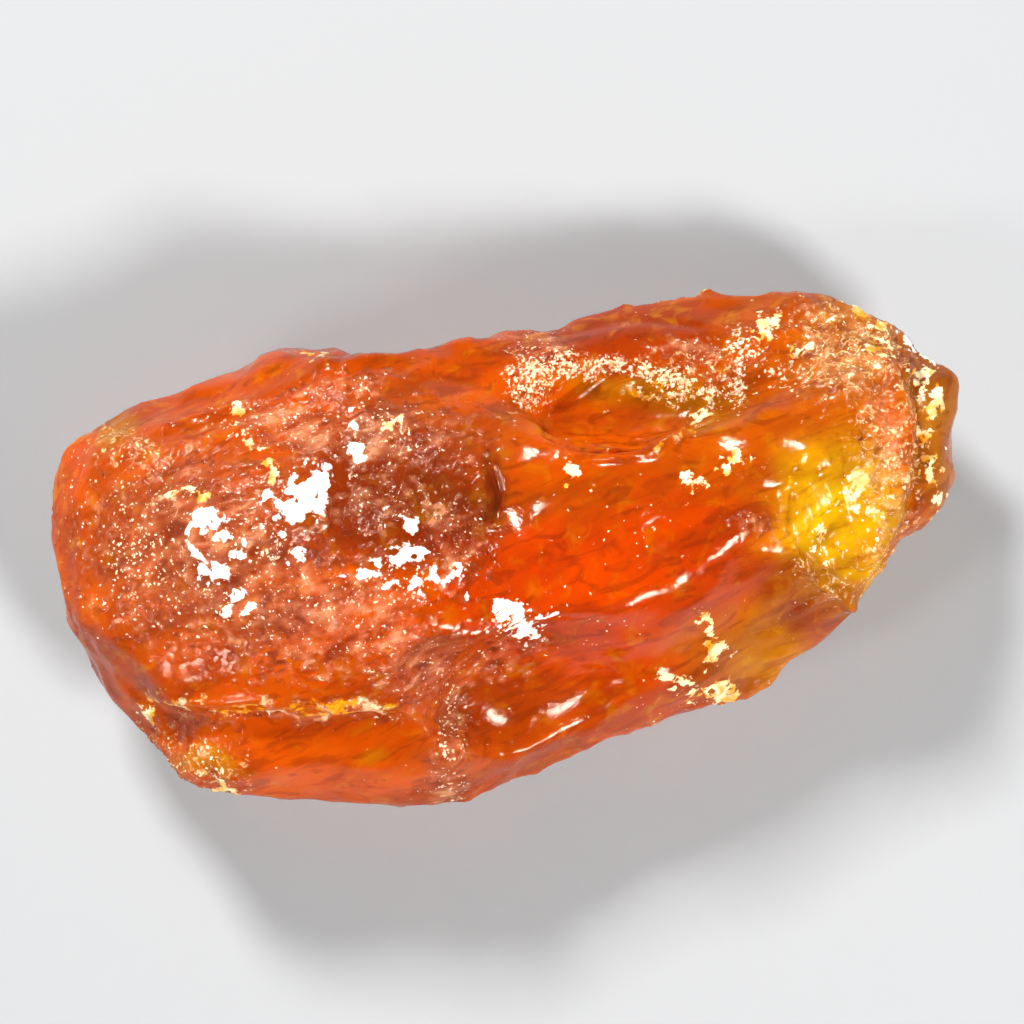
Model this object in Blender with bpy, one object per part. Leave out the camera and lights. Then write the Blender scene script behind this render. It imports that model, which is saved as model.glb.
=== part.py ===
"""One lump of raw amber, lying on its back with its broad face up.

Metres, +Z up. Shapes are worked out in millimetres round the middle of the lump: +X runs to its yellow end, +Y to the
long edge with the shelf, +Z out of the broad face. The last step stands it on its flat back and scales it to metres.
"""

import math
import random

import bmesh
import bpy
import numpy as np
from mathutils import Vector, noise

MM = 0.001
SEED = 11

# Overall form
HALF_LENGTH = 34.2
HALF_WIDTH = 19.9
FACE_HEIGHT = 9.4
BACK_DEPTH = 12.6
REST_CUT = 0.9
FULLNESS = 2.3
GRID = 62
TRIANGLES = 9400

# Outline of the broad face, anticlockwise from the yellow end
OUTLINE = [
    (34.2, 10.4), (33.6, 14.2), (31.5, 16.8), (30.6, 17.1), (29.6, 17.0), (28.5, 18.3), (26.7, 19.5),
    (23.8, 19.8), (20.8, 19.3), (12.9, 19.3), (5.9, 17.6), (4.2, 16.3), (1.7, 16.4), (-3.3, 15.7),
    (-7.4, 14.5), (-11.7, 15.1), (-16.6, 15.1), (-17.6, 14.7), (-20.1, 13.4), (-22.4, 12.8),
    (-28.2, 10.7), (-31.5, 9.1), (-32.5, 8.1), (-33.7, 5.9), (-34.2, 1.8), (-33.0, -5.0), (-32.1, -7.6),
    (-30.5, -10.1), (-30.1, -11.6), (-29.4, -12.5), (-28.1, -13.3), (-24.8, -17.4), (-21.8, -18.7),
    (-18.9, -19.2), (-16.0, -18.7), (-11.3, -19.5), (-7.1, -19.3), (-4.3, -19.6), (-3.2, -19.5),
    (-2.6, -19.9), (-1.4, -19.8), (0.6, -17.9), (1.9, -17.1), (3.3, -16.8), (6.0, -15.2), (9.6, -14.1),
    (12.6, -12.8), (18.5, -11.3), (20.7, -10.0), (21.3, -9.0), (25.6, -5.8), (27.6, -2.8), (30.7, 1.0),
    (33.4, 3.3), (33.9, 8.3),
]

# Broad swells and hollows of the face and the back: x, y, reach and height, negative for a hollow
FACE_SWELLS = [
    (-18.0, 0.5, 10.5, 3.4),
    (-8.0, -5.0, 8.0, 1.4),
    (-2.0, 3.5, 5.5, -1.6),
    (9.0, -3.0, 8.0, 1.2),
    (12.0, 14.5, 6.5, 2.2),
    (26.5, 10.0, 7.0, 4.2),
    (24.5, 1.5, 5.0, -1.2),
    (5.0, -14.0, 7.0, -1.6),
]
BACK_SWELLS = [
    (-15.0, -3.0, 9.5, 2.6),
    (-27.0, 6.0, 7.0, -2.0),
    (5.0, 5.0, 8.0, 2.0),
    (20.0, 6.0, 7.0, 1.4),
    (29.0, -1.0, 6.0, -2.4),
    (12.0, -10.0, 7.0, -3.2),
]
# How far the rim lies below the middle of the thickness: x, y, reach, drop
RIM_DROPS = [
    (12.0, -14.0, 9.0, 3.6),
    (26.0, -6.0, 7.0, 2.6),
    (34.0, 9.0, 5.0, 3.0),
    (-30.0, 9.0, 8.0, 1.8),
    (-12.0, -20.0, 8.0, 1.6),
]
RIM_DROP_LOST_INSIDE = 0.6
FACE_STARTS = -3.5
FACE_IS_FULL = 0.5

# Flat breaks: place on the plan, depth taken off there, the way the break faces and how rounded its edge is
FACE_BREAKS = [
    (11.0, 16.2, 0.9, (0.02, 0.60, 0.80), 0.4),
    (24.0, 16.6, 0.5, (0.30, 0.50, 0.81), 0.4),
    (-13.5, -16.5, 1.1, (-0.04, -0.74, 0.67), 0.4),
    (-27.0, -12.6, 0.9, (-0.56, -0.56, 0.60), 0.6),
    (22.6, -5.0, 1.2, (0.40, -0.52, 0.75), 0.4),
    (21.5, -9.0, 0.7, (0.34, -0.84, 0.42), 0.4),
    (-31.5, 2.0, 0.5, (-0.84, 0.14, 0.52), 1.2),
    (-22.0, 10.5, 0.6, (-0.34, 0.62, 0.71), 1.2),
    (-6.0, 13.0, 0.7, (0.05, 0.66, 0.75), 0.9),
    (5.0, 1.0, 0.4, (0.10, 0.10, 0.99), 0.8),
]
BACK_BREAKS = [
    (-22.0, 8.0, 1.6, (-0.26, 0.50, -0.83), 0.6),
    (-24.0, -8.0, 1.5, (-0.44, -0.40, -0.80), 0.6),
    (-6.0, -11.5, 1.6, (0.04, -0.56, -0.83), 0.6),
    (6.0, 11.5, 1.4, (0.10, 0.50, -0.86), 0.6),
    (22.0, 8.0, 0.9, (0.34, 0.30, -0.89), 0.6),
    (14.0, -8.0, 1.0, (0.20, -0.40, -0.89), 0.6),
    (-29.0, 0.0, 1.0, (-0.66, 0.08, -0.75), 0.6),
    (28.0, 2.0, 0.6, (0.50, -0.16, -0.85), 0.5),
]

# Shell-shaped hollows: place on the plan, depth, and the three radii of the ball that bites in
FACE_HOLLOWS = [
    (7.6, 11.2, 2.0, (6.8, 3.7, 4.0)),
    (18.6, 7.0, 0.6, (9.5, 7.5, 9.0)),
    (25.0, 1.8, 0.8, (7.5, 8.0, 7.5)),
    (-15.9, -1.0, 0.6, (5.0, 3.2, 5.0)),
    (-20.5, 5.4, 0.4, (5.0, 2.6, 5.0)),
    (6.5, -12.6, 0.8, (17.0, 8.0, 14.0)),
    (-4.4, 6.8, 0.4, (5.5, 4.0, 6.0)),
]
BACK_HOLLOWS = [
    (-20.0, -3.0, 1.4, (14.0, 10.0, 15.0)),
    (3.0, -13.5, 1.6, (13.0, 8.0, 11.0)),
    (25.0, -1.0, 1.2, (11.0, 9.0, 11.0)),
    (-5.0, 13.0, 1.4, (9.0, 6.0, 8.0)),
    (15.0, 12.0, 0.9, (7.0, 5.0, 6.0)),
]
HOLLOW_EDGE = 0.03
EDGE_REACH = 4.0
WOBBLE = 1.6
WOBBLE_SIZE = 4.5
WOBBLE_SHIFTS = (0.0, 31.7, 67.3)

# Ledges: the line of the edge with the low side on its right, how far it drops and how far the drop reaches
SHELF_LEDGE = [
    (-0.4, 15.4), (1.4, 12.4), (4.0, 12.0), (6.6, 13.2), (9.2, 13.4), (11.2, 12.6), (13.2, 11.4),
    (15.2, 12.4), (18.2, 13.6), (21.6, 13.4), (24.4, 11.8),
]
FOOT_LEDGE = [
    (-28.0, -10.4), (-25.6, -11.6), (-22.5, -12.3), (-19.2, -12.3), (-15.4, -11.9), (-11.0, -12.3),
    (-7.0, -12.6), (-4.6, -14.0),
]
LEDGES = [
    (SHELF_LEDGE, 1.5, 4.6),
    (FOOT_LEDGE, 1.3, 3.6),
]
LEDGE_SOFTNESS = 0.9
LEDGE_FADE = 5.0

# Raised folds and sunken grooves: the line, its height and its width
END_GROOVE = [
    (27.4, -2.6), (29.8, 1.0), (30.8, 5.2), (30.6, 9.6), (29.8, 13.8), (28.2, 17.0), (25.6, 19.0),
]
LINES = [
    ([(-20.5, 12.0), (-16.5, 13.6), (-12.4, 12.8), (-8.0, 13.7), (-3.4, 14.4)], 0.9, 0.9),
    ([(-30.4, 5.9), (-25.2, 8.9), (-19.2, 11.0), (-13.9, 12.4)], 0.6, 0.8),
    ([(-31.4, 2.0), (-28.6, 6.0), (-23.4, 7.4), (-17.0, 9.4)], 0.5, 0.8),
    ([(22.4, 18.0), (25.9, 15.2), (28.6, 11.4), (29.3, 5.4), (27.6, 0.8), (25.0, -3.8)], 0.9, 1.4),
    ([(1.4, -6.9), (-0.8, -11.4), (-3.6, -15.2), (-4.6, -18.0)], 0.8, 1.4),
    ([(3.2, 8.4), (4.6, 6.8), (7.6, 6.4), (10.9, 6.8), (13.2, 8.6)], 0.5, 0.8),
    (END_GROOVE, -1.1, 0.9),
    (FOOT_LEDGE, -0.4, 0.6),
    ([(-1.0, 6.0), (-0.4, 3.6), (-0.8, 1.4)], -0.6, 0.7),
    ([(13.4, 11.6), (14.0, 14.6), (16.4, 17.6)], -0.6, 0.8),
]
LINE_FADE = 2.2
FADE_STARTS = -0.5

# Weathering: size of the lumps and how far they stand out, more so in the rugged spots
LUMPS = [(11.0, 0.7), (4.8, 0.45), (2.4, 0.22)]
RUGGED_SPOTS = [
    (-17.0, -1.0, 6.0, 1.0),
    (26.5, 4.0, 6.5, 1.2),
    (24.0, 14.0, 5.0, 1.0),
    (4.0, 12.5, 3.0, 0.8),
    (-27.0, -14.0, 3.5, 1.2),
]
CHIPS = 56
CHIP_DEPTH = (0.3, 1.4)
CHIP_TILT = (-1.3, 0.6)
CHIP_ENDWISE = 0.45
CHIP_SOFTNESS = 0.2

# Finish: rounds of easing and their strength, the sectors the rim is measured in, how far out its stretch starts,
# and the angle from which an edge is drawn sharp
EASING_PASSES = 2
EASING = 0.5
SECTORS = 90
STRETCH_STARTS = 0.55
SHARP_ANGLE = 42.0
ON_PLANE = 1e-6


def smooth_ramp(value, low, high):
    """0 below low, 1 above high, and a smooth slope between."""
    t = np.clip((value - low) / (high - low), 0.0, 1.0)
    return t * t * (3.0 - 2.0 * t)


def rounded_excess(value, softness):
    """How far value is over zero, with the corner rounded off over softness."""
    return 0.5 * (value + np.sqrt(value * value + softness * softness))


def outline_curve(samples_per_span=8):
    """Smooth closed curve through the outline's points."""
    points = np.array(OUTLINE)
    before, after = np.roll(points, 1, axis=0), np.roll(points, -1, axis=0)
    after_next = np.roll(points, -2, axis=0)
    steps = np.linspace(0.0, 1.0, samples_per_span, endpoint=False)[:, None, None]
    slope_in = (after - before) / 2.0
    slope_out = (after_next - points) / 2.0
    curve = (
        (2 * steps**3 - 3 * steps**2 + 1) * points
        + (steps**3 - 2 * steps**2 + steps) * slope_in
        + (3 * steps**2 - 2 * steps**3) * after
        + (steps**3 - steps**2) * slope_out
    )
    return curve.transpose(1, 0, 2).reshape(-1, 2)


def outline_at(angle):
    """Outline point for each angle, measured on an ellipse of the lump's length and width."""
    curve = outline_curve()
    curve_angle = np.arctan2(curve[:, 1] / HALF_WIDTH, curve[:, 0] / HALF_LENGTH)
    order = np.argsort(curve_angle)
    x = np.interp(angle, curve_angle[order], curve[order, 0], period=2 * math.pi)
    y = np.interp(angle, curve_angle[order], curve[order, 1], period=2 * math.pi)
    return np.stack([x, y], axis=1)


def swells_at(plan, swells):
    """Sum of round swells and hollows at each point of the plan."""
    height = np.zeros(len(plan))
    for x, y, reach, rise in swells:
        distance = np.hypot(plan[:, 0] - x, plan[:, 1] - y)
        height += rise * np.exp(-((distance / reach) ** 2))
    return height


def pillow(directions):
    """Full, rounded lump on the outline, from unit directions out of its middle."""
    across = np.hypot(directions[:, 0], directions[:, 1])
    climb = np.arctan2(np.abs(directions[:, 2]), across)
    spread = np.cos(climb) ** (2.0 / FULLNESS)
    rise = np.sin(climb) ** (2.0 / FULLNESS)
    plan = outline_at(np.arctan2(directions[:, 1], directions[:, 0])) * spread[:, None]
    face = FACE_HEIGHT + swells_at(plan, FACE_SWELLS)
    back = BACK_DEPTH + swells_at(plan, BACK_SWELLS)
    height = np.where(directions[:, 2] >= 0.0, face, -back) * rise
    height -= swells_at(plan, RIM_DROPS) * (1.0 - RIM_DROP_LOST_INSIDE * rise)
    return np.column_stack([plan, height])


def lumps_at(points, size, shift=0.0):
    """Smooth chance value at each point, between about -1 and 1, with lumps of one size."""
    return np.array([noise.noise(Vector(point / size + shift)) for point in points])


def wobble(points):
    """Slow chance shift that keeps the rims of hollows from being true ovals."""
    return WOBBLE * np.column_stack([lumps_at(points, WOBBLE_SIZE, shift) for shift in WOBBLE_SHIFTS])


def surface_place(points, x, y, side):
    """Point of the face (side 1) or the back (side -1) at a place on the plan."""
    distance = np.hypot(points[:, 0] - x, points[:, 1] - y)
    distance[points[:, 2] * side < 0.0] = np.inf
    return points[np.argmin(distance)].copy()


def take_off(points, on_plane, facing, softness):
    """Take off what stands past a plane."""
    over = (points - on_plane) @ facing
    points -= rounded_excess(over, softness)[:, None] * facing


def break_flat(points, side, x, y, depth, facing, softness):
    """Flat break, depth below the surface at a place on the plan."""
    facing = np.array(facing) / np.linalg.norm(facing)
    on_plane = surface_place(points, x, y, side) - depth * facing
    take_off(points, on_plane, facing, softness)


def press_hollow(points, side, x, y, depth, radii):
    """Shell-shaped hollow: whatever is inside an uneven ball moves out to its skin."""
    centre = surface_place(points, x, y, side)
    centre[2] += side * (radii[2] - depth)
    offset = (points + wobble(points) - centre) / np.array(radii)
    distance = np.linalg.norm(offset, axis=1)
    inside = rounded_excess(1.0 - distance, HOLLOW_EDGE) * (distance < 1.0 + EDGE_REACH * HOLLOW_EDGE)
    points += offset / distance[:, None] * inside[:, None] * np.array(radii)


def along_line(points, line):
    """Distance to a line on the plan, positive on its left, and how far along it the nearer end is."""
    plan = points[:, :2]
    corners = np.array(line)
    lengths = np.linalg.norm(np.diff(corners, axis=0), axis=1)
    starts = np.concatenate([[0.0], np.cumsum(lengths)])
    nearest = np.full(len(points), np.inf)
    side = np.ones(len(points))
    place = np.zeros(len(points))
    for index, length in enumerate(lengths):
        start, step = corners[index], corners[index + 1] - corners[index]
        offset = plan - start
        t = np.clip(offset @ step / length**2, 0.0, 1.0)
        distance = np.linalg.norm(offset - t[:, None] * step, axis=1)
        closer = distance < nearest
        nearest = np.where(closer, distance, nearest)
        turn = step[0] * offset[:, 1] - step[1] * offset[:, 0]
        side = np.where(closer, np.where(turn >= 0.0, 1.0, -1.0), side)
        place = np.where(closer, starts[index] + t * length, place)
    return nearest * side, np.minimum(place, starts[-1] - place)


def on_face(points):
    """1 on the broad face, 0 on the back."""
    return smooth_ramp(points[:, 2], FACE_STARTS, FACE_IS_FULL)


def fade_at_ends(to_end, fade):
    """0 past the ends of a line, and 1 from the length of the fade inwards."""
    return smooth_ramp(to_end, FADE_STARTS, fade)


def ledge_drop(points, line, drop, reach):
    """How far the surface sinks on the right side of a line, running out after reach."""
    distance, to_end = along_line(points, line)
    low_side = smooth_ramp(-distance, -LEDGE_SOFTNESS / 2, LEDGE_SOFTNESS / 2)
    run_out = 1.0 - smooth_ramp(-distance, LEDGE_SOFTNESS, reach)
    return drop * low_side * run_out * fade_at_ends(to_end, LEDGE_FADE) * on_face(points)


def line_rise(points, line, height, width):
    """How far a fold stands out along a line, negative for a groove."""
    distance, to_end = along_line(points, line)
    fold = height * np.exp(-((distance / width) ** 2))
    return fold * fade_at_ends(to_end, LINE_FADE) * on_face(points)


def chip_all_round(points):
    """Small flat chips that face chance ways, most of them along the sides and under the back."""
    chance = random.Random(SEED)
    for _ in range(CHIPS):
        turn = chance.uniform(0.0, 2.0 * math.pi)
        tilt = chance.uniform(*CHIP_TILT)
        facing = np.array([
            math.cos(turn) * math.cos(tilt) * CHIP_ENDWISE,
            math.sin(turn) * math.cos(tilt),
            math.sin(tilt),
        ])
        facing /= np.linalg.norm(facing)
        reach = (points @ facing).max() - chance.uniform(*CHIP_DEPTH)
        take_off(points, facing * reach, facing, CHIP_SOFTNESS)


def weathering(points):
    """How far the irregular lumps stand out, coarser in the rugged spots."""
    rugged = 1.0 + swells_at(points[:, :2], RUGGED_SPOTS) * on_face(points)
    lift = np.zeros(len(points))
    for size, amount in LUMPS:
        lift += amount * lumps_at(points, size)
    return lift * rugged


def meet_outline(points):
    """Stretch the rim on the plan until the lump seen from above fills its outline."""
    angle = np.arctan2(points[:, 1] / HALF_WIDTH, points[:, 0] / HALF_LENGTH)
    spread = np.linalg.norm(points[:, :2], axis=1) / np.linalg.norm(outline_at(angle), axis=1)
    sector = ((angle + math.pi) / (2 * math.pi) * SECTORS).astype(int) % SECTORS
    widest = np.zeros(SECTORS)
    np.maximum.at(widest, sector, spread)
    widest = (np.roll(widest, 1) + 2.0 * widest + np.roll(widest, -1)) / 4.0
    middle_angle = (np.arange(SECTORS) + 0.5) / SECTORS * 2 * math.pi - math.pi
    here = np.interp(angle, middle_angle, widest, period=2 * math.pi)
    nearness = smooth_ramp(spread / here, STRETCH_STARTS, 1.0)
    points[:, :2] *= (1.0 + (1.0 / here - 1.0) * nearness)[:, None]


def unit_grid():
    """Cube with even faces, its corners moved onto a ball: no poles and no seams."""
    mesh = bmesh.new()
    bmesh.ops.create_cube(mesh, size=2.0)
    bmesh.ops.subdivide_edges(mesh, edges=mesh.edges[:], cuts=GRID - 1, use_grid_fill=True)
    for vertex in mesh.verts:
        even = Vector([math.tan(value * math.pi / 4.0) for value in vertex.co])
        vertex.co = even.normalized()
    return mesh


def coordinates(mesh):
    """Places of the mesh's vertices, one row each."""
    return np.array([vertex.co[:] for vertex in mesh.verts])


def set_coordinates(mesh, points):
    """Put the mesh's vertices in new places."""
    for vertex, point in zip(mesh.verts, points):
        vertex.co = point
    mesh.normal_update()


def move_out(mesh, distance_of):
    """Move each vertex along its normal by what distance_of gives for the points."""
    points = coordinates(mesh)
    normals = np.array([vertex.normal[:] for vertex in mesh.verts])
    set_coordinates(mesh, points + normals * distance_of(points)[:, None])


def sculpt(mesh):
    """Turn the ball into the lump, from the broad form down to the weathering."""
    points = pillow(coordinates(mesh))
    for side, breaks in ((1, FACE_BREAKS), (-1, BACK_BREAKS)):
        for x, y, depth, facing, softness in breaks:
            break_flat(points, side, x, y, depth, facing, softness)
    chip_all_round(points)
    set_coordinates(mesh, points)
    for ledge in LEDGES:
        move_out(mesh, lambda points: -ledge_drop(points, *ledge))
    points = coordinates(mesh)
    for side, hollows in ((1, FACE_HOLLOWS), (-1, BACK_HOLLOWS)):
        for x, y, depth, radii in hollows:
            press_hollow(points, side, x, y, depth, radii)
    set_coordinates(mesh, points)
    move_out(mesh, lambda points: sum(line_rise(points, *line) for line in LINES))
    move_out(mesh, weathering)
    for _ in range(EASING_PASSES):
        bmesh.ops.smooth_vert(
            mesh, verts=mesh.verts, factor=EASING, use_axis_x=True, use_axis_y=True, use_axis_z=True
        )
    points = coordinates(mesh)
    meet_outline(points)
    set_coordinates(mesh, points)


def thin_out(dense):
    """Fewer triangles on the even stretches, with the edges of the breaks kept."""
    lump = bpy.data.objects.new("amber", dense)
    bpy.context.collection.objects.link(lump)
    fewer = lump.modifiers.new("fewer", "DECIMATE")
    fewer.ratio = TRIANGLES / sum(len(face.vertices) - 2 for face in dense.polygons)
    fewer.use_collapse_triangulate = True
    thinned = bpy.data.meshes.new_from_object(lump.evaluated_get(bpy.context.evaluated_depsgraph_get()))
    lump.modifiers.clear()
    lump.data = thinned
    return lump


def cut_resting_face(mesh):
    """Cut the lowest of the back off flat, where the lump rests."""
    geometry = mesh.verts[:] + mesh.edges[:] + mesh.faces[:]
    depth = min(vertex.co.z for vertex in mesh.verts) + REST_CUT
    cut = bmesh.ops.bisect_plane(
        mesh, geom=geometry, dist=ON_PLANE, plane_co=(0, 0, depth), plane_no=(0, 0, -1), clear_outer=True
    )
    rim = [item for item in cut["geom_cut"] if isinstance(item, bmesh.types.BMEdge)]
    face = bmesh.ops.contextual_create(mesh, geom=rim)["faces"]
    bmesh.ops.recalc_face_normals(mesh, faces=mesh.faces[:])
    bmesh.ops.triangulate(mesh, faces=face)


def stand_on_origin(mesh):
    """Middle of the resting lump's box at the origin, its flat back at zero, in metres."""
    points = coordinates(mesh)
    low, high = points.min(axis=0), points.max(axis=0)
    origin = np.array([(low[0] + high[0]) / 2.0, (low[1] + high[1]) / 2.0, low[2]])
    set_coordinates(mesh, (points - origin) * MM)


def amber_material():
    """Clear orange-red resin."""
    material = bpy.data.materials.new("amber")
    material.use_nodes = True
    shader = material.node_tree.nodes["Principled BSDF"]
    shader.inputs["Base Color"].default_value = (0.80, 0.20, 0.02, 1.0)
    shader.inputs["Roughness"].default_value = 0.25
    shader.inputs["Metallic"].default_value = 0.0
    shader.inputs["IOR"].default_value = 1.54
    shader.inputs["Transmission Weight"].default_value = 0.8
    return material


def make_amber():
    """Sculpt the lump, thin its mesh out, cut its resting face and stand it on the origin."""
    dense = bpy.data.meshes.new("dense")
    mesh = unit_grid()
    sculpt(mesh)
    mesh.to_mesh(dense)
    mesh.free()
    lump = thin_out(dense)
    bpy.data.meshes.remove(dense)
    mesh = bmesh.new()
    mesh.from_mesh(lump.data)
    cut_resting_face(mesh)
    stand_on_origin(mesh)
    mesh.to_mesh(lump.data)
    mesh.free()
    lump.data.name = "amber"
    lump.data.materials.append(amber_material())
    lump.data.shade_smooth()
    lump.data.set_sharp_from_angle(angle=math.radians(SHARP_ANGLE))


def clear_scene():
    """Empty the scene of everything it starts with."""
    for thing in list(bpy.data.objects):
        bpy.data.objects.remove(thing)


clear_scene()
make_amber()
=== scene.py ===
"""Raw amber lump on a pale floor, seen from above its broad face.

The scene is in metres, +Z up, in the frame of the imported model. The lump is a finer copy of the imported
solid. The relief and the colours of its broad face are placed in millimetres on its plan, as the camera
above sees it.
"""

import math
import random

import bmesh
import bpy
import numpy as np
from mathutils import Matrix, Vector, noise
from mathutils.bvhtree import BVHTree


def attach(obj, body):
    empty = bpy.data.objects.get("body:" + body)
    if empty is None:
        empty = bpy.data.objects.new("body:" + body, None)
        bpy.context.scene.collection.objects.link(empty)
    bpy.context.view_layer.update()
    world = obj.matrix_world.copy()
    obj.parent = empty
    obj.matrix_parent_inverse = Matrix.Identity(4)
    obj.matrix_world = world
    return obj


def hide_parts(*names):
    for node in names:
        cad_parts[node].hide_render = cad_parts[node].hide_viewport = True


MM = 0.001
SEED = 5

# Camera, straight above the broad face, aimed at the level of its rim
AIM = (0.5, 2.8, 12.3)
CAMERA_DISTANCE = 400.0
VIEW_WIDTH = 76.9
SENSOR = 36.0

# Finer copy of the solid
SAME_PLACE = 0.001
VOXEL = 0.29
SMOOTHING = 5

# Heights between which the weathered back turns to the broad face
BACK_LEVEL = 4.0
FACE_LEVEL = 9.0


def colour(code):
    """Linear colour from a six-figure hex code."""
    channels = [int(code[start:start + 2], 16) / 255.0 for start in (0, 2, 4)]
    return tuple(c / 12.92 if c <= 0.04045 else ((c + 0.055) / 1.055) ** 2.4 for c in channels)


# Colours of the clear resin
ORANGE = colour("fc6a04")
DULL_ORANGE = colour("ca4e03")
RED = colour("ff5000")
DARK = colour("963410")
DEEP_BROWN = colour("6e260c")
BROWN_RED = colour("a03408")
PEACH_BROWN = colour("e06e30")
GOLD = colour("f67604")
GLOW = colour("ffb00a")
YELLOW = colour("ffd00a")
OLIVE = colour("dc980c")
HONEY = colour("e49c28")

# Colours of the skin
# Painted pink sheen of the frosted skin
FROST_AND_SHEEN_PINK = colour("e29e76")
CRUST_PALE = colour("dca86c")
CREAM_YELLOW = colour("fdeebc")
CHALK_WHITE = colour("f0ebe0")
GRAIN_CREAM = colour("f0dcb8")
GRAIN_TAN = colour("dcaa78")

# How the resin and its skin take the light
AMBER_IOR = 1.54
ABSORPTION_COLOUR = (0.99, 0.74, 0.10, 1.0)
ABSORPTION_DENSITY = 60.0
SHEEN_LEVEL = 0.02
SHEEN_TINT = (1.0, 0.80, 0.62, 1.0)
GLOW_SHARE = 0.4
GLOW_REACH = (1.0, 0.3, 0.05)
GLOW_DEPTH = 3.0
CLEAR_ROUGHNESS = 0.13
FROST_ROUGHNESS = 0.40
CRUST_ROUGHNESS = 0.5
CHALK_ROUGHNESS = 0.8
BUMP_STRENGTH = 0.9
BUMP_DEPTH = 0.16
BUMP_WHERE_CLEAR = 0.22
GRAIN_IOR = 1.5
GRAIN_ROUGHNESS = 0.45

# Floor, surroundings and lamps: name, place in metres, power in watts and size in metres
FLOOR_COLOUR = (0.37, 0.375, 0.38, 1.0)
FLOOR_ROUGHNESS = 0.8
HORIZON_COLOUR = (0.10, 0.10, 0.10, 1.0)
CEILING_COLOUR = (0.04, 0.04, 0.04, 1.0)
LAMPS = [
    ("key", (-0.20, 0.40, 0.42), 5.6, 0.12),
    ("fill", (0.30, -0.26, 0.42), 4.1, 0.12),
    ("side", (-0.42, -0.20, 0.34), 1.0, 0.10),
]

# Colour zones of the resin on the plan: middle, half length, half width, colour, weight and clearness
ZONES = [
    (7.9, -3.1, 7.5, 6.4, RED, 1.4, 0.6),
    (-3.8, 11.6, 3.8, 2.7, ORANGE, 1.2, 0.55),
    (-0.4, -3.1, 4.5, 4.1, RED, 0.8, 0.7),
    (14.6, -0.8, 4.5, 4.1, RED, 0.7, 0.7),
    (-13.9, -16.2, 9.0, 2.6, ORANGE, 1.6, 0.5),
    (-33.7, -0.8, 2.6, 11.3, DULL_ORANGE, 2.6, 0.12),
    (-28.9, -8.3, 3.8, 3.0, DULL_ORANGE, 1.2, 0.4),
    (5.6, -12.1, 9.0, 3.8, DULL_ORANGE, 1.0, 0.45),
    (-23.7, 11.2, 9.8, 3.2, DULL_ORANGE, 1.2, 0.4),
    (-8.3, 15.3, 6.0, 2.3, DULL_ORANGE, 0.6, 0.7),
    (-22.9, -0.1, 7.9, 6.8, PEACH_BROWN, 1.0, 0.55),
    (-12.4, -8.3, 6.8, 2.7, ORANGE, 1.2, 0.6),
    (-6.4, 8.2, 6.0, 4.1, PEACH_BROWN, 0.7, 0.7),
    (-16.4, 0.4, 1.8, 1.2, DARK, 2.0, 0.5),
    (-9.6, 2.6, 4.5, 3.2, DARK, 3.0, 0.6),
    (-15.4, 0.3, 3.0, 1.1, DARK, 1.6, 0.4),
    (-4.2, 3.7, 3.8, 3.4, DARK, 0.8, 0.75),
    (-0.9, 4.8, 0.8, 2.3, DARK, 1.5, 0.8),
    (19.5, 8.2, 6.0, 4.1, GOLD, 1.6, 0.6),
    (5.6, 3.7, 4.5, 2.1, GOLD, 0.7, 0.7),
    (10.1, 12.1, 4.5, 1.1, GLOW, 1.6, 0.7),
    (6.7, 9.9, 5.0, 1.7, ORANGE, 1.8, 0.5),
    (10.1, 16.6, 7.1, 2.4, BROWN_RED, 4.0, 0.35),
    (18.5, 16.3, 2.7, 2.6, GOLD, 2.4, 0.5),
    (24.8, 2.6, 3.5, 5.0, YELLOW, 4.5, 0.35),
    (23.3, 4.8, 2.6, 3.0, YELLOW, 3.0, 0.4),
    (20.0, -7.2, 2.6, 3.5, OLIVE, 1.6, 0.3),
    (22.6, -3.7, 3.3, 2.7, BROWN_RED, 3.0, 0.5),
    (25.9, 15.0, 4.1, 3.6, HONEY, 0.8, 0.5),
    (32.3, 10.5, 1.8, 7.1, HONEY, 1.6, 0.7),
    (16.1, -8.3, 3.8, 3.0, HONEY, 0.6, 0.7),
    (-4.2, -14.3, 1.7, 4.5, PEACH_BROWN, 0.9, 0.6),
    (-29.3, 9.1, 1.5, 0.9, YELLOW, 0.8, 0.7),
    (-21.8, -16.0, 2.3, 0.9, YELLOW, 0.9, 0.7),
    (-10.2, -15.8, 1.1, 0.6, YELLOW, 1.0, 0.7),
    (14.6, 10.8, 3.8, 1.1, YELLOW, 0.7, 0.7),
]
PLAIN_WEIGHT = 0.35
PLAIN_CLEARNESS = 0.6
ZONE_WARP = 1.6
ZONE_WARP_SIZE = 5.0
JAG = 0.8

# Lines that the fine wrinkles follow
LINES_TURN = 22.0
LINES_SQUEEZE = 0.4

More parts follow.
